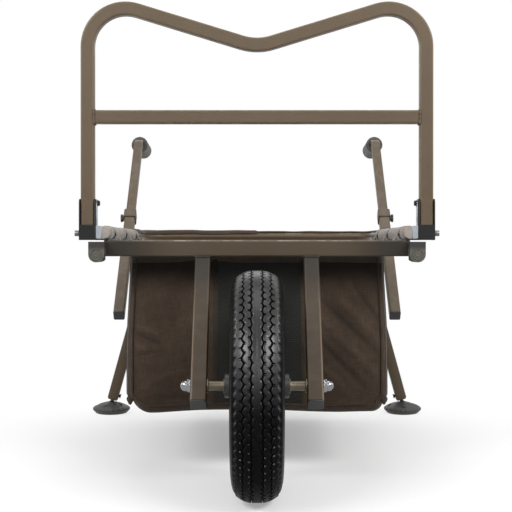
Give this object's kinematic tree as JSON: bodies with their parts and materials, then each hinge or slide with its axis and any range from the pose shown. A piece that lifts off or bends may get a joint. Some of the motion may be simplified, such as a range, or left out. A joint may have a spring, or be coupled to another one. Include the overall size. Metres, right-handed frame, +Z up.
{
  "type": "fishing trolley",
  "caption": "Single-wheel fishing barrow: tube bed on a pneumatic wheel and folding splayed legs, with a folding front gate, telescopic handles and an underslung bag.",
  "frame": {"origin": "on the ground, under the middle of the trolley's bounding box", "axes": "+Z up, -Y to the wheel at the front, +Y to the handles at the rear, +X to the right when looking from the wheel to the handles"},
  "size_m": [0.7978, 1.5554, 0.8906],
  "materials": {
    "frame_paint": "satin khaki brown powder coat",
    "black_steel": "satin black coated steel",
    "zinc": "bright zinc plate",
    "chrome": "polished",
    "bearing_steel": "ground steel",
    "rim_paint": "satin black paint",
    "tyre": "black tread rubber",
    "soft_rubber": "matt butyl rubber",
    "bumper_rubber": "matt grey rubber",
    "foam": "soft grey foam",
    "fabric": "dark brown woven nylon",
    "black_plastic": "matt black moulded",
    "foot_plastic": "matt grey moulded"
  },
  "bodies": {
    "frame": {"front_rail": "frame_paint", "middle_rail": "frame_paint", "rear_rail": "frame_paint", "bed_tube": "frame_paint", "side_pad_left": "foam", "side_pad_right": "foam", "rear_hem": "fabric", "corner_bumper_left": "bumper_rubber", "corner_bumper_right": "bumper_rubber", "fork_arm_left": "frame_paint", "fork_arm_right": "frame_paint", "fork_cap_left": "foot_plastic", "fork_cap_right": "foot_plastic", "axle": "zinc", "axle_spacer_left": "zinc", "axle_spacer_right": "zinc", "axle_nut_left": "chrome", "axle_nut_right": "chrome", "bag": "fabric", "handle_sleeve_left": "frame_paint", "handle_sleeve_right": "frame_paint", "sleeve_cap_left": "black_plastic", "sleeve_cap_right": "black_plastic", "sleeve_collar_left": "black_plastic", "sleeve_collar_right": "black_plastic", "hinge_bracket_left": "black_steel", "hinge_bracket_right": "black_steel", "hinge_stay_left": "zinc", "hinge_stay_right": "zinc", "hinge_pin_left": "zinc", "hinge_pin_right": "zinc", "leg_bracket_left": "frame_paint", "leg_bracket_right": "frame_paint", "leg_pin_left": "zinc", "leg_pin_right": "zinc"},
    "gate": {"gate_bow": "frame_paint", "gate_crossbar": "frame_paint", "post_plug_left": "black_steel", "post_plug_right": "black_steel"},
    "wheel": {"tyre": "tyre", "inner_tube": "soft_rubber", "wheel_rim": "rim_paint", "wheel_hub": "rim_paint", "valve_stem": "soft_rubber", "wheel_bearing_left": "bearing_steel", "wheel_bearing_right": "bearing_steel"},
    "handle_left": {"handle_tube_left": "frame_paint", "handle_grip_left": "foam"},
    "handle_right": {"handle_tube_right": "frame_paint", "handle_grip_right": "foam"},
    "knob_left": {"handle_knob_left": "black_plastic"},
    "knob_right": {"handle_knob_right": "black_plastic"},
    "leg_left": {"leg_tube_left": "frame_paint"},
    "leg_right": {"leg_tube_right": "frame_paint"},
    "shin_left": {"leg_shin_left": "frame_paint"},
    "shin_right": {"leg_shin_right": "frame_paint"},
    "mud_foot_left": {"foot_left": "foot_plastic"},
    "mud_foot_right": {"foot_right": "foot_plastic"},
    "button_left": {"leg_button_left": "black_plastic"},
    "button_right": {"leg_button_right": "black_plastic"}
  },
  "joints": [
    {"name": "wheel_spin", "type": "hinge", "parent": "frame", "child": "wheel", "pos_m": [0, -0.57774, 0.2], "axis": [1, 0, 0], "continuous": true},
    {"name": "gate_fold", "type": "hinge", "parent": "frame", "child": "gate", "pos_m": [0, -0.39452, 0.45897], "axis": [1, 0, 0], "range_deg": [-82, 0]},
    {"name": "handle_slide_left", "type": "slide", "parent": "frame", "child": "handle_left", "axis": [0, 0.7771, 0.6293], "range_m": [-0.15, 0.05]},
    {"name": "handle_slide_right", "type": "slide", "parent": "frame", "child": "handle_right", "axis": [0, 0.7771, 0.6293], "range_m": [-0.15, 0.05]},
    {"name": "handle_knob_turn_left", "type": "hinge", "parent": "frame", "child": "knob_left", "pos_m": [-0.334, 0.38665, 0.47112], "axis": [-1, 0, 0], "range_deg": [0, 270]},
    {"name": "handle_knob_turn_right", "type": "hinge", "parent": "frame", "child": "knob_right", "pos_m": [0.334, 0.38665, 0.47112], "axis": [1, 0, 0], "range_deg": [0, 270]},
    {"name": "leg_fold_left", "type": "hinge", "parent": "frame", "child": "leg_left", "pos_m": [-0.257, 0.3043, 0.37071], "axis": [0.9632, 0, -0.2689], "range_deg": [0, 90]},
    {"name": "leg_fold_right", "type": "hinge", "parent": "frame", "child": "leg_right", "pos_m": [0.257, 0.3043, 0.37071], "axis": [0.9632, 0, 0.2689], "range_deg": [0, 90]},
    {"name": "leg_slide_left", "type": "slide", "parent": "leg_left", "child": "shin_left", "axis": [-0.2689, 0, -0.9632], "range_m": [0, 0.1]},
    {"name": "leg_slide_right", "type": "slide", "parent": "leg_right", "child": "shin_right", "axis": [0.2689, 0, -0.9632], "range_m": [0, 0.1]},
    {"name": "foot_tilt_left", "type": "hinge", "parent": "shin_left", "child": "mud_foot_left", "pos_m": [-0.35436, 0.3043, 0.022], "axis": [1, 0, 0], "range_deg": [-15, 15]},
    {"name": "foot_tilt_right", "type": "hinge", "parent": "shin_right", "child": "mud_foot_right", "pos_m": [0.35436, 0.3043, 0.022], "axis": [1, 0, 0], "range_deg": [-15, 15]},
    {"name": "leg_button_press_left", "type": "slide", "parent": "leg_left", "child": "button_left", "axis": [-0.9632, 0, 0.2689], "range_m": [0, 0.002], "stiffness_N_per_m": 300},
    {"name": "leg_button_press_right", "type": "slide", "parent": "leg_right", "child": "button_right", "axis": [0.9632, 0, 0.2689], "range_m": [0, 0.002], "stiffness_N_per_m": 300}
  ]
}
